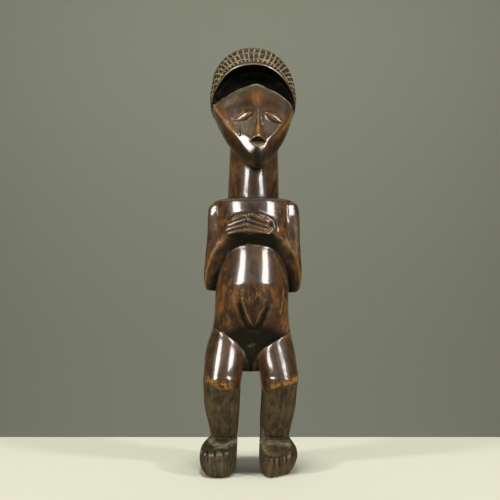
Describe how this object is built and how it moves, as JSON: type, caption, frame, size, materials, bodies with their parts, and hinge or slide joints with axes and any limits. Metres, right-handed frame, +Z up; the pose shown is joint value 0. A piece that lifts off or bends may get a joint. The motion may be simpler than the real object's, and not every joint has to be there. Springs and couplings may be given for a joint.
{
  "type": "ngbaka standing figure",
  "caption": "Carved wooden figure of a standing person with a domed cap, heart-shaped face, hands clasped on the chest, bent knees and block feet.",
  "frame": {"origin": "on the ground, in the middle of the box round the whole figure", "axes": "+Z up the figure, its front towards -Y, +X to the right of a person looking at its face"},
  "size_m": [0.1064, 0.1009, 0.45],
  "materials": {
    "wood": "dark oiled patina, glossy where handled and dull in the recesses"
  },
  "bodies": {
    "root": {"figure": "wood"}
  },
  "joints": []
}
